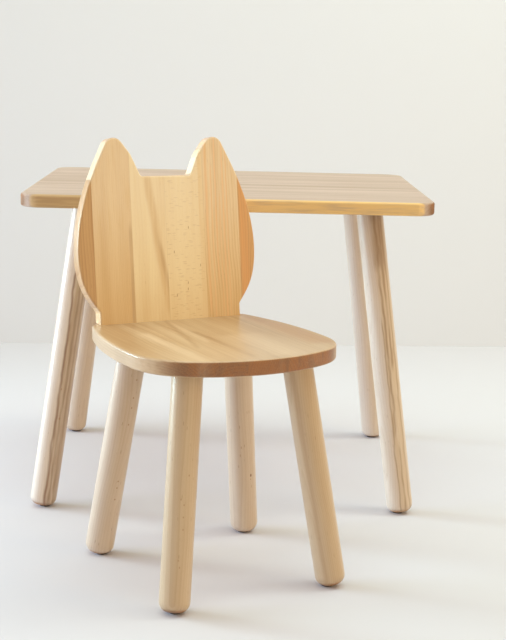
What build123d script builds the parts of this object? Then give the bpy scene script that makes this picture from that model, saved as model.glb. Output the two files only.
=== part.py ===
from build123d import *
import os
from math import cos, radians, sin

# A child's table and chair in solid beech. Millimetres, +Z up, the floor at Z = 0.
# The table stands at the back (+Y). The chair stands in front of it with its back to the table,
# turned a little. The origin is the middle of the set's footprint, on the floor.

os.makedirs("parts", exist_ok=True)

# ---- driving dimensions ---------------------------------------------------------------------

BOARD = 19.5  # finished thickness of the three glued boards
LEG_RADIUS = 19.5
LEG_END_ROUND = 13.0  # round-over at the foot of a leg
FOOT_FLAT = 2.3  # depth of the flat sawn on the rounded foot, under which the glide sits
GLIDE_RADIUS = 8.0
GLIDE_THICKNESS = 3.0
GLIDE_CHAMFER = 0.5
CLEARANCE = 0.05  # radial room around bolts, inserts, screws and dowels

# Table
TABLE_LENGTH = 600.0
TABLE_DEPTH = 480.0
TABLE_HEIGHT = 470.0
TABLE_CORNER = 30.0
TABLE_EDGE_ROUND = 4.0
TABLE_STAVES = 9
TABLE_FOOT = (269.0, 219.5)  # where a leg's axis meets the floor, from the table's centre
TABLE_LEG_TOP = (210.5, 157.5)  # where it meets the underside of the top

# Chair, in its own frame: the sitter faces -Y
CHAIR_PLACE = (-22.0, -449.5)  # from the table's centre
CHAIR_TURN = 27.8
SEAT_HEIGHT = 313.5
SEAT_FRONT = -166.0
SEAT_HALF_WIDTH = 141.5
SEAT_WIDEST_Y = -40.0
SEAT_FRONT_ARC = 210.0
SEAT_SIDE_ARC = 480.0
SEAT_FRONT_CORNER = 85.0
SEAT_REAR_CORNER = 30.0
SEAT_EDGE_ROUND = 3.0
SEAT_GLUE_LINES = (-85.0, -28.0, 28.0, 85.0)
CHAIR_FOOT = {"front": (113.0, -145.0), "rear": (113.0, 95.5)}
CHAIR_LEG_TOP = {"front": (77.0, -99.5), "rear": (77.0, 63.5)}

# Backrest: a board with two ears that stands on the rear of the seat, its back flush with the edge
BACK_FRONT_Y = 107.5  # its front face, where it meets the seat
BACK_LEAN = 8.1
BACK_EDGE_ROUND = 2.5
BACK_GLUE_LINES = (-110.0, -54.0, -3.0, 55.0, 109.0)
TAB_HALF_WIDTH = 105.5  # the straight foot of the backrest
TAB_HEIGHT = 17.0
CHEEK_END_SLOPE = (-0.7, -1.0)  # direction in which the cheek runs into the foot
CHEEK_LOW = (122.0, 42.0)
CHEEK_WIDEST = (132.8, 96.0)
CHEEK_HIGH = (124.0, 155.0)
EAR_OUTER = (98.5, 219.0)  # where the curved cheek runs into the straight edge of the ear
EAR_POINT = (77.0, 261.5)  # before it is rounded
EAR_SHOULDER = (50.5, 227.5)
VALLEY_CORNER = (37.0, 197.5)
EAR_TIP_ROUND = 14.0
SHOULDER_ROUND = 25.0
VALLEY_ROUND = 6.0
TAB_ROUND = 6.0

# Hardware
BOLT_RADIUS = 4.0
BOLT_IN_LEG = 40.0
BOLT_IN_BOARD = 13.0
BOLT_CHAMFER = 1.0
INSERT_RADIUS = 6.0
INSERT_SPAN = (1.6, 13.6)  # along the bolt, from the underside of the board
HOLE_IN_BOARD = 14.2
SCREW_RADIUS = 3.0
SCREW_LENGTH = 45.0
SCREW_POINT = 2.0  # chamfer at the screw's end
SCREW_HEAD_RADIUS = 5.0
SCREW_HEAD_SPAN = (1.0, 5.0)  # along the screw, from the underside of the seat
SCREW_HEAD_ROOM = 0.3  # radial
SOCKET_RADIUS = 2.5  # to the corners of the hexagon
SOCKET_DEPTH = 2.2
SCREW_X = (-80.0, -18.0, 18.0, 80.0)
DOWEL_RADIUS = 4.0
DOWEL_LENGTH = 30.0
DOWEL_IN_SEAT = 12.0
DOWEL_CHAMFER = 1.0
DOWEL_X = (-46.0, 46.0)
OVERDRILL = 1.0  # depth of a hole past the end of what it holds

BIG = 2000.0  # longer than anything in the set
UP_FROM_BASE = (Align.CENTER, Align.CENTER, Align.MIN)
SIDES = {"left": -1, "right": 1}
ENDS = {"front": -1, "rear": 1}


# ---- helpers --------------------------------------------------------------------------------


def rod(plane, radius, start, end):
    """Cylinder about the plane's normal, from start to end along it."""
    return plane.offset(start) * Cylinder(radius, end - start, align=UP_FROM_BASE)


def slab(low, high, axis):
    """A block without sides, between two planes square to the axis."""
    size = {"X": (high - low, BIG, BIG), "Y": (BIG, high - low, BIG), "Z": (BIG, BIG, high - low)}[axis]
    middle = (low + high) / 2
    place = {"X": (middle, 0, 0), "Y": (0, middle, 0), "Z": (0, 0, middle)}[axis]
    return Pos(*place) * Box(*size)


def round_board(outline, thickness, edge_round):
    """Extrude an outline downwards from its plane and round the edges of both faces."""
    board = extrude(outline, amount=-thickness)
    faces = board.faces().sort_by(Axis.Z)
    return fillet(faces[0].edges() + faces[-1].edges(), edge_round)


def staves(board, name, glue_lines, axis):
    """Saw a board at its glue lines into staves, numbered along the axis."""
    cuts = [-BIG / 2, *glue_lines, BIG / 2]
    return {
        f"{name}_{number}": board & slab(low, high, axis)
        for number, (low, high) in enumerate(zip(cuts[:-1], cuts[1:]), 1)
    }


def leg_axis(foot, top, underside):
    """Plane at the top of a leg, square to the leg, its normal pointing up the leg."""
    return Plane(origin=(*top, underside), z_dir=(top[0] - foot[0], top[1] - foot[1], underside))


def leg(foot, top, underside):
    """Round leg sawn flat under the board, with a rounded foot sawn flat for its glide."""
    axis = leg_axis(foot, top, underside)
    upright = axis.z_dir.Z
    lean = (1 - upright**2) ** 0.5
    flat_radius = LEG_RADIUS - LEG_END_ROUND
    end_height = GLIDE_THICKNESS - FOOT_FLAT + LEG_END_ROUND * (1 - upright) + flat_radius * lean
    length = (underside - end_height) / upright
    body = rod(axis, LEG_RADIUS, -length, LEG_RADIUS)
    body = fillet(body.edges().filter_by(GeomType.CIRCLE).sort_by(Axis.Z)[0], LEG_END_ROUND)
    body = body & slab(GLIDE_THICKNESS, underside, "Z")
    return body - rod(axis, BOLT_RADIUS + CLEARANCE, -BOLT_IN_LEG - OVERDRILL, BOLT_RADIUS)


def glide(leg_body):
    """Felt pad under the flat of a leg's foot."""
    flat = leg_body.faces().sort_by(Axis.Z)[0].center()
    pad = Pos(flat.X, flat.Y, 0) * Cylinder(GLIDE_RADIUS, GLIDE_THICKNESS, align=UP_FROM_BASE)
    return chamfer(pad.edges().sort_by(Axis.Z)[0], GLIDE_CHAMFER)


def hanger_bolt(axis):
    """Bolt with a wood screw end in the leg and a machine thread in the board's insert."""
    bolt = rod(axis, BOLT_RADIUS, -BOLT_IN_LEG, BOLT_IN_BOARD)
    return chamfer(bolt.edges().filter_by(GeomType.CIRCLE), BOLT_CHAMFER)


def insert(axis):
    """Threaded sleeve for the bolt."""
    return rod(axis, INSERT_RADIUS, *INSERT_SPAN) - rod(axis, BOLT_RADIUS + CLEARANCE, 0, BOARD)


def insert_hole(axis):
    return rod(axis, INSERT_RADIUS + CLEARANCE, -INSERT_RADIUS, HOLE_IN_BOARD)


def add_legs(parts, prefix, axes_and_legs):
    """Name the legs, and put their bolts, inserts and glides into one node each."""
    for name, (axis, body) in axes_and_legs.items():
        parts[f"{prefix}_leg_{name}"] = body
    axes = [axis for axis, body in axes_and_legs.values()]
    bodies = [body for axis, body in axes_and_legs.values()]
    parts[f"{prefix}_hanger_bolts"] = Compound([hanger_bolt(axis) for axis in axes])
    parts[f"{prefix}_threaded_inserts"] = Compound([insert(axis) for axis in axes])
    parts[f"{prefix}_glides"] = Compound([glide(body) for body in bodies])


# ---- table ----------------------------------------------------------------------------------


def table():
    parts = {}
    underside = TABLE_HEIGHT - BOARD
    outline = Pos(0, 0, TABLE_HEIGHT) * RectangleRounded(TABLE_LENGTH, TABLE_DEPTH, TABLE_CORNER)
    top = round_board(outline, BOARD, TABLE_EDGE_ROUND)
    legs = {}
    for end, y in ENDS.items():
        for side, x in SIDES.items():
            foot = (x * TABLE_FOOT[0], y * TABLE_FOOT[1])
            head = (x * TABLE_LEG_TOP[0], y * TABLE_LEG_TOP[1])
            axis = leg_axis(foot, head, underside)
            top -= insert_hole(axis)
            legs[f"{end}_{side}"] = (axis, leg(foot, head, underside))
    width = TABLE_DEPTH / TABLE_STAVES
    glue_lines = [width * n - TABLE_DEPTH / 2 for n in range(1, TABLE_STAVES)]
    parts.update(staves(top, "table_top_stave", glue_lines, "Y"))
    add_legs(parts, "table", legs)
    return parts


# ---- chair ----------------------------------------------------------------------------------


def seat_outline():
    """Broad arc in front, bowed sides that draw in towards a straight rear edge, round corners."""
    rear = BACK_FRONT_Y + BOARD / cos(radians(BACK_LEAN))
    front_disc = Pos(0, SEAT_FRONT + SEAT_FRONT_ARC) * Circle(SEAT_FRONT_ARC)
    outline = front_disc & Pos(0, (SEAT_FRONT + rear) / 2) * Rectangle(BIG, rear - SEAT_FRONT)
    for side in SIDES.values():
        outline &= Pos(side * (SEAT_HALF_WIDTH - SEAT_SIDE_ARC), SEAT_WIDEST_Y) * Circle(SEAT_SIDE_ARC)
    corners = outline.vertices().sort_by(Axis.Y)
    outline = fillet(corners[:2], SEAT_FRONT_CORNER)
    return fillet(outline.vertices().sort_by(Axis.Y)[-2:], SEAT_REAR_CORNER)


def backrest_outline():
    """Cat-shaped outline, X across and Y up the board, with Y = 0 where the front meets the seat."""
    below_seat = (TAB_HALF_WIDTH, -BOARD)
    tab_top = (TAB_HALF_WIDTH, TAB_HEIGHT)
    ear_edge = Vector(*EAR_OUTER) - Vector(*EAR_POINT)
    cheek = Spline(
        EAR_OUTER,
        CHEEK_HIGH,
        CHEEK_WIDEST,
        CHEEK_LOW,
        tab_top,
        tangents=[ear_edge, Vector(*CHEEK_END_SLOPE)],
        tangent_scalars=[1, 1],
    )
    half = Polyline((0, VALLEY_CORNER[1]), VALLEY_CORNER, EAR_SHOULDER, EAR_POINT, EAR_OUTER)
    half = half + cheek + Polyline(tab_top, below_seat, (0, -BOARD))
    half_face = make_face(half + Line((0, -BOARD), (0, VALLEY_CORNER[1])))
    outline = half_face + mirror(half_face, Plane.YZ)
    rounds = (
        (VALLEY_CORNER, VALLEY_ROUND),
        (EAR_SHOULDER, SHOULDER_ROUND),
        (EAR_POINT, EAR_TIP_ROUND),
        (tab_top, TAB_ROUND),
    )
    for corner, radius in rounds:
        for side in SIDES.values():
            point = Vector(side * corner[0], corner[1], 0)
            nearest = min(outline.vertices(), key=lambda v: (Vector(*v) - point).length)
            outline = fillet(nearest, radius)
    return outline


def backrest_plane():
    """Plane of the backrest's front face: X across, Y up the board, normal towards the sitter."""
    lean = radians(BACK_LEAN)
    return Plane(origin=(0, BACK_FRONT_Y, SEAT_HEIGHT), x_dir=(1, 0, 0), z_dir=(0, -cos(lean), sin(lean)))


def fixing_axis(x):
    """Plane on the middle of the backrest's thickness at the seat, its normal up the board."""
    lean = radians(BACK_LEAN)
    origin = (x, BACK_FRONT_Y + BOARD / (2 * cos(lean)), SEAT_HEIGHT)
    return Plane(origin=origin, x_dir=(1, 0, 0), z_dir=(0, sin(lean), cos(lean)))


def backrest_screw(axis):
    """Screw from under the seat, with a hexagon socket in its head."""
    through_seat = BOARD / axis.z_dir.Z
    start, shoulder = (span - through_seat for span in SCREW_HEAD_SPAN)
    shank = rod(axis, SCREW_RADIUS, shoulder, shoulder + SCREW_LENGTH)
    shank = chamfer(shank.edges().filter_by(GeomType.CIRCLE).sort_by(Axis.Z)[-1], SCREW_POINT)
    socket = extrude(axis.offset(start) * RegularPolygon(SOCKET_RADIUS, 6), amount=SOCKET_DEPTH)
    return rod(axis, SCREW_HEAD_RADIUS, start, shoulder) + shank - socket


def screw_hole(axis):
    through_seat = BOARD / axis.z_dir.Z
    shoulder = SCREW_HEAD_SPAN[1] - through_seat
    head = rod(axis, SCREW_HEAD_RADIUS + SCREW_HEAD_ROOM, shoulder - BOARD, shoulder)
    end = shoulder + SCREW_LENGTH + OVERDRILL
    return head + rod(axis, SCREW_RADIUS + CLEARANCE, shoulder - OVERDRILL, end)


def dowel(axis):
    pin = rod(axis, DOWEL_RADIUS, -DOWEL_IN_SEAT, DOWEL_LENGTH - DOWEL_IN_SEAT)
    return chamfer(pin.edges().filter_by(GeomType.CIRCLE), DOWEL_CHAMFER)


def dowel_hole(axis):
    top = DOWEL_LENGTH - DOWEL_IN_SEAT + OVERDRILL
    return rod(axis, DOWEL_RADIUS + CLEARANCE, -DOWEL_IN_SEAT - OVERDRILL, top)


def chair():
    parts = {}
    underside = SEAT_HEIGHT - BOARD
    seat = round_board(Pos(0, 0, SEAT_HEIGHT) * seat_outline(), BOARD, SEAT_EDGE_ROUND)
    legs = {}
    for end in ENDS:
        for side, x in SIDES.items():
            foot = (x * CHAIR_FOOT[end][0], CHAIR_FOOT[end][1])
            head = (x * CHAIR_LEG_TOP[end][0], CHAIR_LEG_TOP[end][1])
            axis = leg_axis(foot, head, underside)
            seat -= insert_hole(axis)
            legs[f"{end}_{side}"] = (axis, leg(foot, head, underside))

    backrest = backrest_plane() * round_board(backrest_outline(), BOARD, BACK_EDGE_ROUND)
    backrest = backrest & slab(SEAT_HEIGHT, BIG / 2, "Z")
    for x in SCREW_X:
        hole = screw_hole(fixing_axis(x))
        seat -= hole
        backrest -= hole
    for x in DOWEL_X:
        hole = dowel_hole(fixing_axis(x))
        seat -= hole
        backrest -= hole

    parts.update(staves(seat, "seat_stave", SEAT_GLUE_LINES, "X"))
    parts.update(staves(backrest, "backrest_stave", BACK_GLUE_LINES, "X"))
    parts["backrest_screws"] = Compound([backrest_screw(fixing_axis(x)) for x in SCREW_X])
    parts["backrest_dowels"] = Compound([dowel(fixing_axis(x)) for x in DOWEL_X])
    add_legs(parts, "chair", legs)
    place = Location((*CHAIR_PLACE, 0), (0, 0, CHAIR_TURN))
    return {name: place * part for name, part in parts.items()}


# ---- the set --------------------------------------------------------------------------------

pieces = {**table(), **chair()}
footprint = Compound(list(pieces.values())).bounding_box()
to_origin = Pos(-footprint.center().X, -footprint.center().Y, 0)
for name, part in pieces.items():
    export_step(to_origin * part, f"parts/{name}.step")
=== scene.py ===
from math import cos, radians, sin

import bpy
import numpy as np
from mathutils import Matrix, Vector


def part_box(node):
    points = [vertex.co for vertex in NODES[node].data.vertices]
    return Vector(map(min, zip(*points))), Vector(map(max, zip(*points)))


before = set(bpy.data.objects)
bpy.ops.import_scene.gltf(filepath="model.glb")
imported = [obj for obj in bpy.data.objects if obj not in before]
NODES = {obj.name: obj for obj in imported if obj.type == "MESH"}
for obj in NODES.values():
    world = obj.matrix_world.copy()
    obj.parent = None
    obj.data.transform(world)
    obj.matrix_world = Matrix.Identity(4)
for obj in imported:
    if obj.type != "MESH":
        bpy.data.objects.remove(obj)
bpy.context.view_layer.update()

MM = 0.001
UP = Vector((0, 0, 1))
SIDEWAYS = 0.2     # a face within this of another's direction, as a cosine, lies across it


# ---- directions and places read from the wood pieces ----------------------------------------


def corners(name):
    """All corners of a piece as rows of a numpy array, in metres."""
    mesh = NODES[name].data
    points = np.empty(len(mesh.vertices) * 3, np.float32)
    mesh.vertices.foreach_get("co", points)
    return points.reshape(-1, 3).astype(float)


def broad_face(name, apart_from=None):
    """Direction that a piece's largest flat face looks in.

    Only faces that lie across apart_from are counted, where it is given.
    """
    mesh = NODES[name].data
    areas = np.empty(len(mesh.polygons), np.float32)
    normals = np.empty(len(mesh.polygons) * 3, np.float32)
    mesh.polygons.foreach_get("area", areas)
    mesh.polygons.foreach_get("normal", normals)
    normals = normals.reshape(-1, 3).astype(float)
    if apart_from is not None:
        areas = areas * (np.abs(normals @ np.array(apart_from)) < SIDEWAYS)
    return Vector(normals[int(np.argmax(areas))]).normalized()


def long_way(name):
    """Direction of a piece's greatest length, pointing up: the main axis of its cloud of corners."""
    points = corners(name)
    axis = np.linalg.svd(points - points.mean(0), full_matrices=False)[2][0]
    return Vector(axis * np.sign(axis[2])).normalized()


def wood_axes(along, face):
    """Rows of a turn: along the grain, across the face and out of the face."""
    x = Vector(along).normalized()
    z = (Vector(face) - x * x.dot(Vector(face))).normalized()
    return Matrix((x, z.cross(x), z))


def placing(turn, start):
    """Location and rotation for a Mapping node that takes a point to the wood's own directions."""
    return [-value for value in start], turn.to_euler("XYZ")


seat_across = broad_face("seat_stave_3", apart_from=UP)
seat_across = seat_across if seat_across.x > 0 else -seat_across
seat_forward = UP.cross(seat_across) * -1
back_face = broad_face("backrest_stave_4", apart_from=seat_across)
back_face = back_face if back_face.y < 0 else -back_face
back_up = back_face.cross(seat_across) * (1 if back_face.cross(seat_across).z > 0 else -1)


# ---- small node-tree helpers ----------------------------------------------------------------


def node(tree, kind, inputs=None, **settings):
    """Add a node. Its inputs are given by name or number, as values or as other nodes' sockets."""
    made = tree.nodes.new(kind)
    for name, value in settings.items():
        setattr(made, name, value)
    for key, value in (inputs or {}).items():
        if isinstance(value, bpy.types.NodeSocket):
            tree.links.new(value, made.inputs[key])
        else:
            made.inputs[key].default_value = value
    return made


def calc(tree, operation, a, b=0.0, c=0.0, clamp=False):
    """One sum on numbers or sockets."""
    made = node(tree, "ShaderNodeMath", {0: a, 1: b, 2: c}, operation=operation, use_clamp=clamp)
    return made.outputs[0]


def ease(tree, value, low, high, start=0.0, end=1.0):
    """Smooth step: start below low, end above high."""
    given = {"Value": value, "From Min": low, "From Max": high, "To Min": start, "To Max": end}
    return node(tree, "ShaderNodeMapRange", given, interpolation_type="SMOOTHSTEP").outputs[0]


def tint(tree, amount, under, over, way="MIX"):
    """Lay one colour over another by an amount."""
    made = node(tree, "ShaderNodeMix", data_type="RGBA", blend_type=way)
    for socket, value in zip((made.inputs[0], made.inputs[6], made.inputs[7]), (amount, under, over)):
        if isinstance(value, bpy.types.NodeSocket):
            tree.links.new(value, socket)
        else:
            socket.default_value = value
    return made.outputs[2]


def stretched(tree, point, sizes, shift=(0, 0, 0)):
    """The point measured in units of sizes, so that a texture's cells take those sizes."""
    scaled = node(tree, "ShaderNodeVectorMath", {0: point, 1: [1 / s for s in sizes]}, operation="MULTIPLY")
    return node(tree, "ShaderNodeVectorMath", {0: scaled.outputs[0], 1: shift}, operation="ADD").outputs[0]


def cloud(tree, point, detail=2.0, rough=0.5):
    """Soft noise between 0 and 1, in cells one unit across."""
    given = {"Vector": point, "Scale": 1.0, "Detail": detail, "Roughness": rough}
    return node(tree, "ShaderNodeTexNoise", given).outputs["Fac"]


def dashes(tree, point, thin, sharp, share):
    """Short marks: the middles of random cells, kept for only a share of the cells.

    A mark is full out to thin from a cell's middle, and has gone at thin + sharp.
    """
    cells = node(tree, "ShaderNodeTexVoronoi", {"Vector": point, "Scale": 1.0, "Randomness": 1.0})
    chance = node(tree, "ShaderNodeSeparateColor", {0: cells.outputs["Color"]}).outputs[0]
    mark = ease(tree, cells.outputs["Distance"], thin, thin + sharp, 1.0, 0.0)
    return calc(tree, "MULTIPLY", mark, calc(tree, "LESS_THAN", chance, share))


# ---- beech ----------------------------------------------------------------------------------

# Sizes of the wood's patterns in metres: along the grain, across the face and into the wood
BEND_CELL = (0.22, 0.09, 0.09)
RIPPLE_CELL = (0.05, 0.012, 0.012)
DRIFT_CELL = (0.30, 0.018, 0.018)
FIBRE_CELL = (0.09, 0.0016, 0.0016)
PORE_CELL = (0.006, 0.0003, 0.0003)
DASH_CELL = (0.022, 0.0032, 0.0032)
FLECK_CELL = (0.0026, 0.012, 0.012)
FAN_CELL = (0.05, 0.0011, 0.0011)
PATCH_CELL = (0.09, 0.016, 0.030)
SEASON_CELL = (0.006, 1, 1)
BOARD_STEP = (7.31, 3.77, 5.13)    # how far apart two boards lie in the patterns
BEND, RIPPLE = 0.030, 0.0022       # how far the rings stray, from end to end of their range
LATE_CURVE = 2.5                   # how slowly a ring darkens towards its end
LATE_STOP = (0.94, 1.0)            # the stretch of a ring in which its dark wood stops
SEASON_GAIN = (1.6, -0.1)          # some years' rings are darker than others'

# Tone from pale, 0, to dark, 1: plain wood's, and how far each pattern moves it
BODY_TONE, DRIFT_TONE, LATE_TONE, FIBRE_TONE = 0.28, 2.4, 0.9, 0.36

# Marks: full out to the first distance, gone after the second one more, in this share of the cells
DASH_MARK = (0.07, 0.10, 0.42)
FLECK_MARK = (0.12, 0.26, 0.85)

# Noise between the first two values shows the pattern from the third amount up to the fourth
PORE_SHOWN = (0.56, 0.74, 0.0, 0.22)
PATCH_SHOWN = (0.42, 0.62, 0.0, 0.55)
FAN_SHOWN = (0.35, 0.75, 0.0, 0.4)
END_RING_SHOWN = 0.9
END_FACING = (0.45, 0.85)          # end grain begins and is full, by the cosine from the grain

# Roughness of smooth wood, and what fibres and end grain add to it
SMOOTH, FIBRE_DULL, END_DULL = 0.24, 0.16, 0.2
FIBRE_HEIGHT, LATE_HEIGHT, PORE_HEIGHT, MARK_DEPTH = 0.6, -0.5, 0.35, 0.3

# What the marks multiply the wood's colour by, and the tones of end grain
RAY_SHADE = (0.62, 0.50, 0.42, 1)
PORE_SHADE = (0.55, 0.45, 0.36, 1)
END_SHADE = (0.78, 0.48, 0.25, 1)
END_PATCH = (0.17, 0.085, 0.04, 1)
END_RING = (0.14, 0.06, 0.03, 1)


def beech_group():
    """Beech as solid wood, cut through wherever the piece's surface lies.

    Growth rings are shells around a pith line beside the piece: the distance from that line,
    a little uneven along the grain, divided by the ring width. The last part of each ring is
    darker and stops sharply. Rays are short dashes along the grain on flat-sawn faces, and
    flecks across it on quarter-sawn ones. End grain is darker and redder.
    Point is in metres: X along the grain, Y across the face and Z out of it.
    """
    tree = bpy.data.node_groups.new("beech", "ShaderNodeTree")
    sockets = (
        ("Point", "NodeSocketVector", None),
        ("Pale", "NodeSocketColor", (0.80, 0.58, 0.34, 1)),
        ("Dark", "NodeSocketColor", (0.60, 0.36, 0.17, 1)),
        ("Pith across", "NodeSocketFloat", 0.0),
        ("Pith depth", "NodeSocketFloat", 0.08),
        ("Ring width", "NodeSocketFloat", 0.003),
        ("Rings", "NodeSocketFloat", 0.5),
        ("Dashes", "NodeSocketFloat", 0.5),
        ("Flecks", "NodeSocketFloat", 0.0),
        ("Drift", "NodeSocketFloat", 0.5),
        ("End grain", "NodeSocketFloat", 0.0),
        ("Board", "NodeSocketFloat", 0.0),
    )
    for name, kind, value in sockets:
        socket = tree.interface.new_socket(name, in_out="INPUT", socket_type=kind)
        if value is not None:
            socket.default_value = value
    for name, kind in (("Colour", "NodeSocketColor"), ("Roughness", "NodeSocketFloat"),
                       ("Height", "NodeSocketFloat")):
        tree.interface.new_socket(name, in_out="OUTPUT", socket_type=kind)
    given = tree.nodes.new("NodeGroupInput").outputs
    out = tree.nodes.new("NodeGroupOutput").inputs

    steps = {axis: calc(tree, "MULTIPLY", given["Board"], step) for axis, step in enumerate(BOARD_STEP)}
    shift = node(tree, "ShaderNodeCombineXYZ", steps).outputs[0]
    here = given["Point"]
    end = given["End grain"]

    # Distance from the pith, uneven along the grain
    bend = cloud(tree, stretched(tree, here, BEND_CELL, shift), 1.0)
    ripple = cloud(tree, stretched(tree, here, RIPPLE_CELL, shift), 2.0)
    wander = calc(tree, "ADD", calc(tree, "MULTIPLY_ADD", bend, BEND, -BEND / 2),
                  calc(tree, "MULTIPLY_ADD", ripple, RIPPLE, -RIPPLE / 2))
    place = node(tree, "ShaderNodeSeparateXYZ", {0: here}).outputs
    across = calc(tree, "SUBTRACT", calc(tree, "ADD", place[1], wander), given["Pith across"])
    depth = calc(tree, "SUBTRACT", place[2], given["Pith depth"])
    radius = calc(tree, "SQRT", calc(tree, "ADD", calc(tree, "MULTIPLY", across, across),
                                     calc(tree, "MULTIPLY", depth, depth)))
    ring = calc(tree, "FRACT", calc(tree, "DIVIDE", radius, given["Ring width"]))
    late = calc(tree, "POWER", ring, LATE_CURVE)
    late = calc(tree, "MULTIPLY", late, ease(tree, ring, *LATE_STOP, 1.0, 0.0))
    outwards = node(tree, "ShaderNodeCombineXYZ", {0: radius, 1: given["Board"]}).outputs[0]
    season = cloud(tree, stretched(tree, outwards, SEASON_CELL), 1.0)
    late = calc(tree, "MULTIPLY", late, calc(tree, "MULTIPLY_ADD", season, *SEASON_GAIN))
    late = calc(tree, "MULTIPLY", late, given["Rings"])

    # Slow change of tone, fibres and pores
    drift = cloud(tree, stretched(tree, here, DRIFT_CELL, shift), 2.0, 0.45)
    drift = calc(tree, "MULTIPLY", calc(tree, "SUBTRACT", drift, 0.5), DRIFT_TONE)
    fibre = cloud(tree, stretched(tree, here, FIBRE_CELL, shift), 3.0, 0.6)
    pores = cloud(tree, stretched(tree, here, PORE_CELL, shift), 2.0, 0.6)

    body = calc(tree, "MULTIPLY_ADD", drift, given["Drift"], BODY_TONE)
    body = calc(tree, "ADD", body, calc(tree, "MULTIPLY", late, LATE_TONE))
    streaky = calc(tree, "MULTIPLY_ADD", fibre, FIBRE_TONE, -FIBRE_TONE / 2)
    body = calc(tree, "ADD", body, streaky, clamp=True)
    colour = tint(tree, body, given["Pale"], given["Dark"])

    # Rays, and the fine dark pores between them
    dash = dashes(tree, stretched(tree, here, DASH_CELL, shift), *DASH_MARK)
    dash = calc(tree, "MULTIPLY", dash, given["Dashes"])
    fleck = dashes(tree, stretched(tree, here, FLECK_CELL, shift), *FLECK_MARK)
    fleck = calc(tree, "MULTIPLY", fleck, given["Flecks"])
    marks = calc(tree, "MAXIMUM", dash, fleck)
    flat = calc(tree, "SUBTRACT", 1.0, end)
    marks = calc(tree, "MULTIPLY", marks, flat)
    colour = tint(tree, marks, colour, tint(tree, 1.0, colour, RAY_SHADE, "MULTIPLY"))
    grit = ease(tree, pores, *PORE_SHOWN)
    colour = tint(tree, calc(tree, "MULTIPLY", grit, flat), colour,
                  tint(tree, 1.0, colour, PORE_SHADE, "MULTIPLY"))

    # End grain: fine rays fanning out, darker rings and broad dark patches
    fan = cloud(tree, stretched(tree, here, FAN_CELL, shift), 3.0, 0.7)
    patch = cloud(tree, stretched(tree, here, PATCH_CELL, shift), 2.0, 0.5)
    cut = tint(tree, 1.0, given["Dark"], END_SHADE, "MULTIPLY")
    cut = tint(tree, ease(tree, patch, *PATCH_SHOWN), cut, END_PATCH)
    cut = tint(tree, calc(tree, "MULTIPLY", late, END_RING_SHOWN), cut, END_RING)
    cut = tint(tree, ease(tree, fan, *FAN_SHOWN), cut, given["Dark"])
    colour = tint(tree, end, colour, cut)
    tree.links.new(colour, out["Colour"])

    dull = calc(tree, "MULTIPLY_ADD", fibre, FIBRE_DULL, SMOOTH)
    dull = calc(tree, "ADD", dull, calc(tree, "MULTIPLY", end, END_DULL))
    tree.links.new(dull, out["Roughness"])
    height = calc(tree, "MULTIPLY_ADD", fibre, FIBRE_HEIGHT, calc(tree, "MULTIPLY", late, LATE_HEIGHT))
    height = calc(tree, "MULTIPLY_ADD", pores, PORE_HEIGHT, height)
    height = calc(tree, "SUBTRACT", height, calc(tree, "MULTIPLY", marks, MARK_DEPTH))
    tree.links.new(height, out["Height"])
    return tree


BEECH = beech_group()


def grain_point(tree, place):
    """The point on the piece, in the wood's own directions."""
    location, rotation = place
    here = node(tree, "ShaderNodeTexCoord").outputs["Object"]
    given = {"Vector": here, "Location": location, "Rotation": rotation}
    return node(tree, "ShaderNodeMapping", given, vector_type="POINT").outputs[0]


SWAY_CELL = (0.06, 10, 10)            # a streak sways only along its length
SWAY_STEP, BROKEN_STEP = 97, 31       # streaks that start apart sway and break up differently
BROKEN_CELL = (0.05, 0.004, 0.004)
BROKEN = (0.25, 0.6)                  # where this noise is low, a streak is half as strong
KNOT_MIDDLE = 0.4                     # a knot is full out to this share of its size
KNOT_DEPTH = 0.003                    # a knot lies no further than this behind its piece's zero
GLUE_HALF_WIDTH = (0.0001, 0.0005)    # full within the first, gone at the second
GLUE_STRENGTH = 0.13
GLUE_BROWN = (0.25, 0.13, 0.06, 1)
BARE_DULLNESS = 0.22                  # wood without oil is rougher by this
DRY_IOR, OIL_IOR = 1.35, 0.43         # index of dry wood, and what a full coat of oil adds
OIL_ROUGHNESS = 0.3


def streak(tree, point, colour, end, start, tone, strength, slope=0.0, width=0.003, core=0.0, wobble=0.002,
           reach=(-1.0, 1.0), fade=0.02, on_ends=True):
    """Vein along the grain, where Y is near start + slope X, give or take a slow wobble.

    It is full within core of its middle, gone at width, and fades out past both ends of its reach.
    With on_ends False it stays off the end grain.
    """
    place = node(tree, "ShaderNodeSeparateXYZ", {0: point}).outputs
    sway = cloud(tree, stretched(tree, point, SWAY_CELL, (start * SWAY_STEP, 0, 0)), 2.0)
    middle = calc(tree, "MULTIPLY_ADD", sway, wobble, start - wobble / 2)
    middle = calc(tree, "MULTIPLY_ADD", place[0], slope, middle)
    away = calc(tree, "ABSOLUTE", calc(tree, "SUBTRACT", place[1], middle))
    broken = cloud(tree, stretched(tree, point, BROKEN_CELL, (start * BROKEN_STEP, 0, 0)), 3.0)
    amount = calc(tree, "MULTIPLY", ease(tree, away, core, width, 1.0, 0.0),
                  ease(tree, broken, *BROKEN, strength / 2, strength))
    low, high = reach
    amount = calc(tree, "MULTIPLY", amount, ease(tree, place[0], low - fade, low))
    amount = calc(tree, "MULTIPLY", amount, ease(tree, place[0], high, high + fade, 1.0, 0.0))
    if not on_ends:
        amount = calc(tree, "MULTIPLY", amount, calc(tree, "SUBTRACT", 1.0, end))
    return tint(tree, amount, colour, (*tone, 1))


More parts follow.
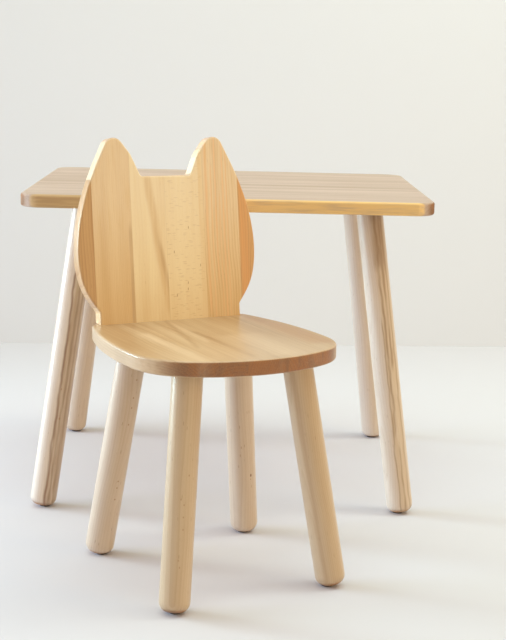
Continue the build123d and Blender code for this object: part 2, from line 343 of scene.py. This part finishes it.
def spot(tree, point, colour, x, y, tone, size=0.001, length=2.0, strength=0.8):
    """Pin knot or dark fleck: an oval on the face, length times as long along the grain."""
    offset = node(tree, "ShaderNodeVectorMath", {0: point, 1: (x, y, 0)}, operation="SUBTRACT").outputs[0]
    offset = node(tree, "ShaderNodeVectorMath", {0: offset, 1: (1 / (length * size), 1 / size, 0)},
                  operation="MULTIPLY").outputs[0]
    away = node(tree, "ShaderNodeVectorMath", {0: offset}, operation="LENGTH").outputs["Value"]
    height = node(tree, "ShaderNodeSeparateXYZ", {0: point}).outputs[2]
    near = calc(tree, "GREATER_THAN", height, -KNOT_DEPTH)
    amount = calc(tree, "MULTIPLY", ease(tree, away, KNOT_MIDDLE, 1.0, strength, 0.0), near)
    return tint(tree, amount, colour, (*tone, 1))


def beech(name, place, along, pale, dark, pith=(0.0, -0.08), ring=3.0, rings=0.5, dash=0.4, flecks=0.0,
          drift=0.5, seed=0.0, streaks=(), spots=(), glue_lines=(), oiled=0.35):
    """A piece's own beech: the shared wood, with this piece's tones, rings, veins and knots.

    Pith is where the growth rings' middle lies, across the face and out of it, and ring their width
    in millimetres. Oiled is how much oil is on the wood.
    """
    material = bpy.data.materials.new(name)
    material.use_nodes = True
    tree = material.node_tree
    shader = tree.nodes["Principled BSDF"]
    point = grain_point(tree, place)
    facing = node(tree, "ShaderNodeTexCoord").outputs["Normal"]
    lengthways = node(tree, "ShaderNodeVectorMath", {0: facing, 1: Vector(along).normalized()},
                      operation="DOT_PRODUCT").outputs["Value"]
    end = ease(tree, calc(tree, "ABSOLUTE", lengthways), *END_FACING)
    given = {"Point": point, "Pale": (*pale, 1), "Dark": (*dark, 1), "Pith across": pith[0],
             "Pith depth": pith[1], "Ring width": ring * MM, "Rings": rings, "Dashes": dash,
             "Flecks": flecks, "Drift": drift, "End grain": end, "Board": seed}
    wood = node(tree, "ShaderNodeGroup", given, node_tree=BEECH)
    colour = wood.outputs["Colour"]
    for vein in streaks:
        colour = streak(tree, point, colour, end, **vein)
    for mark in spots:
        colour = spot(tree, point, colour, **mark)
    if glue_lines:
        across = node(tree, "ShaderNodeSeparateXYZ", {0: point}).outputs[1]
        for line in glue_lines:
            away = calc(tree, "ABSOLUTE", calc(tree, "SUBTRACT", across, line))
            shown = ease(tree, away, *GLUE_HALF_WIDTH, GLUE_STRENGTH, 0.0)
            colour = tint(tree, shown, colour, GLUE_BROWN)
    tree.links.new(colour, shader.inputs["Base Color"])
    dull = wood.outputs["Roughness"]
    if oiled == 0:
        dull = calc(tree, "ADD", dull, BARE_DULLNESS)
    tree.links.new(dull, shader.inputs["Roughness"])
    bump = node(tree, "ShaderNodeBump", {"Strength": 0.25, "Distance": 0.0003,
                                         "Height": wood.outputs["Height"]})
    tree.links.new(bump.outputs[0], shader.inputs["Normal"])
    shader.inputs["IOR"].default_value = DRY_IOR + OIL_IOR * oiled
    shader.inputs["Coat Weight"].default_value = oiled
    shader.inputs["Coat Roughness"].default_value = OIL_ROUGHNESS
    return material


def finish_in(name, material):
    """Give a carried-over piece its finish."""
    slots = NODES[name].data.materials
    slots.clear()
    slots.append(material)


# ---- tones of wood --------------------------------------------------------------------------

VEIN = (0.36, 0.17, 0.07)
# Brown of heartwood streaks on the backrest; on the chair's front right leg the same brown is painted shade
HEARTWOOD_AND_SHADE = (0.46, 0.28, 0.14)
PIN = (0.22, 0.09, 0.04)
SAP = (0.74, 0.54, 0.34)
DEEP = (0.36, 0.20, 0.09)
BLUSH = (0.50, 0.27, 0.12)
AMBER = (0.93, 0.62, 0.25)
BARK = (0.30, 0.17, 0.08)
APRICOT = (0.84, 0.48, 0.22)
STRAW = (0.80, 0.50, 0.20)
COPPER = (0.74, 0.34, 0.11)
CHALK = (0.93, 0.78, 0.60)
TOFFEE = (0.66, 0.38, 0.13)
CHESTNUT = (0.42, 0.235, 0.10)
MAHOGANY = (0.26, 0.08, 0.035)
UMBER = (0.26, 0.15, 0.08)
MOCHA = (0.40, 0.26, 0.155)
FAWN = (0.55, 0.385, 0.22)
# Brown of a band that is partly streaks and partly painted shadow
COCOA_STREAK_AND_SHADOW = (0.34, 0.21, 0.12)
CARAMEL = (0.60, 0.34, 0.12)
NUTMEG = (0.42, 0.26, 0.13)

cream = {"pale": (0.68, 0.54, 0.40), "dark": (0.53, 0.37, 0.24)}
wheat = {"pale": (0.89, 0.71, 0.425), "dark": (0.75, 0.52, 0.26)}
honey = {"pale": (0.78, 0.545, 0.28), "dark": (0.61, 0.36, 0.14)}
tan = {"pale": (0.60, 0.355, 0.15), "dark": (0.43, 0.21, 0.072)}
russet = {"pale": (0.70, 0.39, 0.155), "dark": (0.49, 0.23, 0.078)}
seat_wood = {"pale": (0.58, 0.395, 0.22), "dark": (0.42, 0.245, 0.11)}
leg_wood = {"pale": (0.61, 0.45, 0.28), "dark": (0.46, 0.29, 0.15)}
# The table top's beech is greyed and paled: painted reflection of the pale wall seen across the top at a low
# angle
top_wood_painted_sheen = {"pale": (0.565, 0.42, 0.325), "dark": (0.42, 0.29, 0.20)}
bleached = {"pale": (0.74, 0.62, 0.50), "dark": (0.60, 0.44, 0.30)}


# ---- the three boards -----------------------------------------------------------------------

TOUCHING = 0.0002      # corners this near a board's highest level are on its face


def board(prefix, along, face, tones):
    """Finish a glued board's staves. Each stave has its own tones, rings and marks.

    X starts at the edge where the grain begins, Y in the middle of the board, and Z on its face.
    """
    turn = wood_axes(along, face)
    names = [f"{prefix}_{number}" for number in range(1, len(tones) + 1)]
    placed = [corners(name) @ np.array(turn).T for name in names]
    every = np.vstack(placed)
    top = every[:, 2].max()
    on_face = every[every[:, 2] > top - TOUCHING]
    start = (on_face[:, 0].min(), (every[:, 1].min() + every[:, 1].max()) / 2, top)
    for number, (name, points, tone) in enumerate(zip(names, placed, tones), 1):
        sides = (float(points[:, 1].min() - start[1]), float(points[:, 1].max() - start[1]))
        across, depth = tone["pith"]
        given = {**tone, "pith": (sum(sides) / 2 + across, depth)}
        wood = beech(name, placing(turn, start), along, seed=number * 1.7 + len(prefix),
                     glue_lines=sides, **given)
        finish_in(name, wood)


whole_width = {"start": 0.0, "width": 0.5, "core": 0.4}
painted_light_gradient = (     # painted light: the back is paler towards its ears, a painted highlight of light from above, and browner near the seat, painted shade with warm light thrown up from the seat
    dict(whole_width, tone=CHALK, strength=0.34, reach=(0.20, 0.5), fade=0.17),
    dict(whole_width, tone=TOFFEE, strength=0.25, reach=(-0.1, 0.0), fade=0.07),
)
stripes = tuple(
    dict(start=start, width=width, core=0.0005, wobble=0.0015, tone=APRICOT, strength=strength, reach=reach)
    for start, width, strength, reach in (
        (-0.0605, 0.0030, 0.55, (0.02, 0.30)), (-0.0680, 0.0016, 0.45, (-0.10, 0.20)),
        (-0.0745, 0.0020, 0.50, (0.06, 0.30)), (-0.0805, 0.0014, 0.40, (-0.10, 0.16)),
        (-0.0860, 0.0022, 0.50, (0.00, 0.30)), (-0.0915, 0.0016, 0.45, (-0.10, 0.30))))
pin_knots = [
    dict(x=x, y=y, size=0.0007, length=4.0, tone=VEIN, strength=0.8) for x, y in (
        (0.1257, -0.0304), (0.093, -0.0074), (0.073, -0.0466), (0.0499, -0.0265), (0.0414, -0.0261),
        (0.0335, -0.0091))]
board("backrest_stave", back_up, back_face, [
    dict(tan, pith=(0.16, -0.02), ring=4.2, rings=0.9, drift=0.6),
    dict(honey, pith=(-0.20, 0.02), ring=2.6, rings=0.45, drift=0.45, dash=0.15, streaks=painted_light_gradient + (
        dict(start=0.0565, width=0.0035, core=0.001, tone=HEARTWOOD_AND_SHADE, strength=0.5, reach=(-0.1, 0.12)),)),
    dict(wheat, pith=(0.09, -0.05), ring=4.5, rings=0.3, drift=0.5, dash=0.3, streaks=painted_light_gradient + (
        dict(start=-0.0045, slope=0.175, width=0.0055, wobble=0.006, tone=HEARTWOOD_AND_SHADE, strength=0.6,
             reach=(0.06, 0.08), fade=0.06),
        dict(start=0.0, slope=0.15, width=0.009, core=0.002, wobble=0.006, tone=honey["dark"],
             strength=0.45, reach=(0.02, 0.19)))),
    dict(wheat, pith=(-0.03, -0.30), ring=5.0, rings=0.15, flecks=0.36, dash=0.1, drift=0.3, spots=pin_knots,
         streaks=painted_light_gradient + (
             dict(start=-0.0525, width=0.0052, core=0.004, wobble=0.001, tone=honey["pale"], strength=0.6),)),
    dict(honey, pith=(0.18, -0.02), ring=4.0, rings=1.1, drift=0.5, streaks=painted_light_gradient + stripes),
    dict(russet, pith=(-0.15, -0.03), ring=3.6, rings=0.9, drift=0.6, streaks=(
        dict(start=-0.0985, width=0.0060, core=0.001, wobble=0.002, tone=STRAW, strength=0.55),
        dict(start=-0.1165, width=0.0080, core=0.003, wobble=0.002, tone=COPPER, strength=0.5))),
])

seat_marks = (
    dict(start=-0.077, width=0.014, core=0.002, wobble=0.006, tone=SAP, strength=0.55, reach=(0.10, 0.262)),
    dict(start=-0.010, slope=-0.07, width=0.007, wobble=0.004, tone=SAP, strength=0.5, reach=(0.0, 0.16)),
    dict(start=0.040, width=0.050, core=0.010, wobble=0.010, tone=SAP, strength=0.40, reach=(0.15, 0.265)),
    dict(start=-0.009, width=0.007, core=0.001, wobble=0.003, tone=DEEP, strength=0.7, reach=(0.11, 0.26)),
    dict(start=-0.0076, slope=-0.21, width=0.007, wobble=0.004, tone=DEEP, strength=0.6, reach=(0.02, 0.19)),
    dict(start=0.018, width=0.006, wobble=0.004, tone=DEEP, strength=0.3, reach=(0.20, 0.29)),
    dict(start=-0.098, slope=-0.154, width=0.024, core=0.008, wobble=0.005, tone=CHESTNUT, strength=0.75,
         reach=(0.0, 0.22)),
    dict(whole_width, tone=SAP, strength=0.35, reach=(0.26, 0.5), fade=0.12, on_ends=False),
    dict(start=0.116, width=0.030, core=0.008, wobble=0.006, tone=BLUSH, strength=0.7, reach=(0.0, 0.22)),
    dict(start=-0.042, width=0.0052, core=0.0042, wobble=0.0, tone=MAHOGANY, strength=0.6,
         reach=(0.322, 0.36)),
)
board("seat_stave", seat_forward, UP, [
    dict(seat_wood, pith=pith, ring=ring, rings=rings, drift=drift, streaks=seat_marks)
    for pith, ring, rings, drift in (
        ((-0.02, -0.06), 3.6, 0.8, 0.9), ((0.02, -0.05), 4.2, 0.8, 0.9), ((0.10, -0.03), 3.2, 0.6, 0.8),
        ((-0.07, -0.04), 3.8, 0.6, 0.8), ((0.03, -0.07), 3.6, 0.8, 0.9))
])

board("table_top_stave", (1, 0, 0), UP, [
    dict(top_wood_painted_sheen, pith=(0.02, -0.05), ring=3.5, rings=0.6, oiled=0.0, streaks=(
        dict(start=-0.2455, width=0.0095, core=0.007, wobble=0.0, tone=AMBER, strength=0.95),
        dict(start=-0.2425, width=0.0020, wobble=0.003, tone=CARAMEL, strength=0.5, reach=(0.2, 0.45)),
        dict(start=-0.2455, width=0.011, core=0.007, wobble=0.0, tone=NUTMEG, strength=0.85,
             reach=(0.020, 0.11)))),
] + [
    dict(top_wood_painted_sheen, pith=pith, ring=ring, rings=0.9, drift=0.9, oiled=0.0)
    for pith, ring in (
        ((-0.06, -0.04), 3.2), ((0.01, -0.06), 4.0), ((0.09, -0.02), 3.0), ((-0.02, -0.05), 3.6),
        ((0.05, -0.05), 3.4), ((-0.08, -0.03), 3.1), ((0.00, -0.05), 3.8), ((0.04, -0.06), 3.4))
])


# ---- legs -----------------------------------------------------------------------------------


def finish_leg(name, tone, face=(0, -1, 0), **marks):
    """Beech dowel: the grain runs up the leg, X starts at its middle, and marks lie towards face."""
    along = long_way(name)
    points = corners(name)
    turn = wood_axes(along, face)
    start = turn @ Vector((points.min(0) + points.max(0)) / 2)
    finish_in(name, beech(name, placing(turn, start), along, **tone, **marks))


finish_leg("table_leg_front_left", bleached, pith=(-0.05, 0.03), ring=3.0, seed=21, dash=0.5,
           streaks=(dict(start=-0.0135, width=0.0145, core=0.009, wobble=0.004, tone=MOCHA,
                         strength=0.75),
                    dict(start=-0.009, width=0.0028, wobble=0.006, tone=UMBER, strength=0.6),
                    dict(start=-0.0015, slope=0.010, width=0.0030, wobble=0.009, tone=PIN, strength=0.8),
                    dict(start=-0.0145, width=0.0022, wobble=0.005, tone=UMBER, strength=0.5)),
           spots=(dict(x=-0.051, y=-0.004, tone=VEIN), dict(x=-0.095, y=-0.0075, size=0.0013, tone=VEIN)))
finish_leg("table_leg_front_right", bleached, pith=(0.03, 0.02), ring=3.4, seed=22, dash=0.5,
           streaks=(dict(start=-0.0095, width=0.012, core=0.006, wobble=0.005, tone=FAWN,
                         strength=0.55),
                    # Up at the table top this band is partly dark streaks and partly painted shadow cast by
                    # the top
                    dict(start=-0.0075, width=0.012, core=0.006, wobble=0.003, tone=COCOA_STREAK_AND_SHADOW,
                         strength=0.6, reach=(0.150, 0.30)),
                    dict(start=-0.0050, width=0.0030, wobble=0.010, tone=BARK, strength=0.75,
                         reach=(-0.10, 0.30)),
                    dict(start=-0.0105, width=0.0034, wobble=0.008, tone=BARK, strength=0.7,
                         reach=(0.0, 0.30)),
                    dict(start=-0.0010, width=0.0020, wobble=0.008, tone=BARK, strength=0.6,
                         reach=(-0.30, 0.05)),
                    dict(start=-0.0080, width=0.0026, wobble=0.008, tone=BARK, strength=0.6,
                         reach=(-0.30, -0.14)),
                    dict(start=-0.0150, width=0.0022, wobble=0.006, tone=BARK, strength=0.5)))
finish_leg("table_leg_rear_left", cream, pith=(-0.03, 0.03), ring=3.2, seed=23, dash=0.5)
finish_leg("table_leg_rear_right", bleached, pith=(0.03, -0.02), ring=3.2, seed=24, dash=0.5)
finish_leg("chair_leg_front_left", leg_wood, pith=(0.01, 0.04), ring=3.6, seed=31, dash=0.7,
           spots=[dict(x=x, y=y, size=0.0011, length=1.6, tone=VEIN, strength=0.55) for x, y in (
               (-0.0094, -0.001), (-0.016, -0.005), (-0.031, -0.005), (-0.046, -0.0055), (-0.0835, -0.002),
               (-0.092, -0.004), (0.020, -0.009))])
# The dark band just left of this leg's middle is mostly painted shade, where the side lit from the left turns
# away from the light, over slightly darker wood
finish_leg("chair_leg_front_right", leg_wood, pith=(0.03, 0.03), ring=3.0, seed=32, dash=0.5,
           streaks=(dict(start=0.006, width=0.005, wobble=0.005, tone=HEARTWOOD_AND_SHADE, strength=0.45),))
finish_leg("chair_leg_rear_left", cream, pith=(-0.04, 0.03), ring=3.6, seed=33, dash=0.9,
           spots=[dict(x=x, y=-0.010, size=0.0012, length=1.4, tone=VEIN, strength=0.7)
                  for x in (0.104, 0.079, 0.065, 0.0415, -0.039, -0.0485, -0.065)])
finish_leg("chair_leg_rear_right", cream, pith=(0.02, 0.04), ring=3.4, seed=34, dash=0.9,
           spots=(dict(x=-0.057, y=-0.0126, size=0.0015, length=2.0, tone=PIN, strength=0.9),
                  dict(x=-0.063, y=-0.0122, size=0.0007, tone=VEIN),
                  dict(x=-0.012, y=-0.001, length=3.0, tone=VEIN, strength=0.5),
                  dict(x=-0.024, y=0.001, length=3.0, tone=VEIN, strength=0.5),
                  dict(x=-0.041, y=0.004, length=3.0, tone=VEIN, strength=0.4)))


# ---- hardware -------------------------------------------------------------------------------

GREY_ZINC, PALE_ZINC = (0.42, 0.43, 0.45, 1), (0.66, 0.66, 0.64, 1)
DARK_FUZZ, PALE_FUZZ = (0.020, 0.017, 0.014, 1), (0.09, 0.075, 0.06, 1)
MOTTLE, FUZZ = 0.004, 0.0006      # sizes of the plating's mottle and the felt's fuzz


def zinc():
    """Dull grey plating with a fine mottle."""
    material = bpy.data.materials.new("zinc_plated_steel")
    material.use_nodes = True
    tree = material.node_tree
    shader = tree.nodes["Principled BSDF"]
    here = node(tree, "ShaderNodeTexCoord").outputs["Object"]
    mottle = cloud(tree, stretched(tree, here, [MOTTLE] * 3), 3.0)
    colour = tint(tree, mottle, GREY_ZINC, PALE_ZINC)
    tree.links.new(colour, shader.inputs["Base Color"])
    tree.links.new(ease(tree, mottle, 0.2, 0.8, 0.25, 0.45), shader.inputs["Roughness"])
    shader.inputs["Metallic"].default_value = 1.0
    return material


def felt():
    """Dark brown fuzz."""
    material = bpy.data.materials.new("dark_felt")
    material.use_nodes = True
    tree = material.node_tree
    shader = tree.nodes["Principled BSDF"]
    here = node(tree, "ShaderNodeTexCoord").outputs["Object"]
    fuzz = cloud(tree, stretched(tree, here, [FUZZ] * 3), 4.0, 0.7)
    colour = tint(tree, fuzz, DARK_FUZZ, PALE_FUZZ)
    tree.links.new(colour, shader.inputs["Base Color"])
    bump = node(tree, "ShaderNodeBump", {"Strength": 0.8, "Distance": 0.0004, "Height": fuzz})
    tree.links.new(bump.outputs[0], shader.inputs["Normal"])
    shader.inputs["Roughness"].default_value = 0.95
    shader.inputs["Sheen Weight"].default_value = 0.3
    return material


ZINC, FELT = zinc(), felt()
for prefix in ("table", "chair"):
    finish_in(f"{prefix}_hanger_bolts", ZINC)
    finish_in(f"{prefix}_threaded_inserts", ZINC)
    finish_in(f"{prefix}_glides", FELT)
finish_in("backrest_screws", ZINC)
dowel_place = placing(wood_axes(back_up, back_face), (0, 0, 0))
finish_in("backrest_dowels", beech("dowel_beech", dowel_place, back_up, **cream, seed=41))


# ---- floor, light and camera ----------------------------------------------------------------

table_low, table_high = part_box("table_top_stave_1")[0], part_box("table_top_stave_9")[1]
table_middle = Vector(((table_low.x + table_high.x) / 2, (table_low.y + table_high.y) / 2, 0))


def one_sided_paint(name, colour, roughness):
    """Matt paint on a surface that is not there for whoever looks at its back."""
    material = bpy.data.materials.new(name)
    material.use_nodes = True
    tree = material.node_tree
    shader = tree.nodes["Principled BSDF"]
    shader.inputs["Base Color"].default_value = (*colour, 1)
    shader.inputs["Roughness"].default_value = roughness
    shader.inputs["Specular IOR Level"].default_value = 0.0
    behind = node(tree, "ShaderNodeNewGeometry").outputs["Backfacing"]
    clear = node(tree, "ShaderNodeBsdfTransparent").outputs[0]
    mixed = node(tree, "ShaderNodeMixShader", {0: behind, 1: shader.outputs[0], 2: clear})
    tree.links.new(mixed.outputs[0], tree.nodes["Material Output"].inputs["Surface"])
    return material


def sheet(name, points, material):
    """Flat four-sided surface of the stage."""
    mesh = bpy.data.meshes.new(name)
    mesh.from_pydata(points, [], [(0, 1, 2, 3)])
    mesh.materials.append(material)
    made = bpy.data.objects.new(name, mesh)
    bpy.context.scene.collection.objects.link(made)


def floor_and_wall():
    """Pale floor, and a pale wall about a metre behind the table, turned a little from it."""
    reach, back, skew, height = 8.0, 1.003, 0.0667, 5.0
    far_left, far_right = (Vector((x, table_middle.y + back + skew * x, 0)) for x in (-reach, reach))
    rise = Vector((0, 0, height))
    sheet("floor", [(-reach, -reach, 0), (reach, -reach, 0), far_right, far_left],
          one_sided_paint("floor_paint", (0.69, 0.66, 0.66), 0.8))
    sheet("wall", [far_left, far_right, far_right + rise, far_left + rise],
          one_sided_paint("wall_paint", (0.75, 0.74, 0.735), 0.9))


def softbox(name, place, aim, size, power, colour, spread, mirrored=True):
    """Soft rectangular lamp. An unmirrored one leaves no bright patch of glare on the boards."""
    light = bpy.data.lights.new(name, "AREA")
    light.shape = "RECTANGLE"
    light.size, light.size_y = size
    light.energy = power
    light.color = colour
    light.spread = radians(spread)
    lamp = bpy.data.objects.new(name, light)
    bpy.context.scene.collection.objects.link(lamp)
    lamp.location = place
    lamp.rotation_euler = (Vector(aim) - Vector(place)).to_track_quat("-Z", "Y").to_euler()
    lamp.visible_camera = False
    lamp.visible_glossy = mirrored


def background():
    """Even warm light from all round."""
    world = bpy.data.worlds.new("pale_background")
    bpy.context.scene.world = world
    world.use_nodes = True
    even = world.node_tree.nodes["Background"]
    even.inputs["Color"].default_value = (0.72, 0.633, 0.508, 1)
    even.inputs["Strength"].default_value = 1.0


def camera():
    """Eye a little above the chair's ears, looking slightly down, the picture turned a little.

    The eye is this far in front of the table's middle, to its right and above the floor.
    """
    away, aside, eye = 2.3023, 0.0065, 0.683
    yaw, tilt, roll = radians(0.928), radians(10.670), radians(1.415)
    ahead = Vector((sin(yaw) * cos(tilt), cos(yaw) * cos(tilt), -sin(tilt)))
    level = Vector((cos(yaw), -sin(yaw), 0))
    upright = level.cross(ahead)
    right = level * cos(roll) + upright * sin(roll)
    up = upright * cos(roll) - level * sin(roll)
    data = bpy.data.cameras.new("camera")
    data.lens, data.sensor_width = 81.30, 36.0
    made = bpy.data.objects.new("camera", data)
    bpy.context.scene.collection.objects.link(made)
    turn = Matrix((right, up, -ahead)).transposed().to_4x4()
    made.matrix_world = Matrix.Translation(table_middle + Vector((aside, -away, eye))) @ turn
    bpy.context.scene.camera = made


floor_and_wall()
background()
# Each lamp's name, place, aim, size, power in watts, colour, spread in degrees, and if it is mirrored
for light in (
    ("window_behind", (-2.6, 1.0, 0.6), (0, 0, 0.4), (1.4, 0.9), 15, (0.66, 0.93, 0.97), 60),
    ("window_far", (-3.0, 0.0, 0.8), (0, 0, 0.4), (2.0, 1.4), 19, (0.20, 0.45, 1.0), 110, False),
    ("window_near", (-1.3, 0.0, 0.7), (0, -0.05, 0.45), (1.1, 1.1), 4.2, (0.75, 0.80, 1.0), 110, False),
    ("lamp", (2.8, -1.2, 0.8), (0, 0, 0.4), (1.4, 1.2), 5.5, (1.0, 0.70, 0.32), 90, False),
    ("ceiling", (0, -0.1, 2.6), (0, 0, 0), (2.0, 2.0), 22, (0.60, 0.90, 1.0), 180),
    ("wall_right", (1.6, 0.2, 2.4), (0.9, 1.25, 0.7), (1.0, 1.0), 25, (0.88, 1.0, 0.94), 180, False),
    ("wall_left", (-1.6, 0.2, 2.4), (-0.9, 1.15, 0.7), (1.0, 1.0), 5.4, (1.0, 0.90, 0.45), 180, False),
):
    softbox(*light)
camera()
bpy.context.scene.view_settings.view_transform = "Standard"
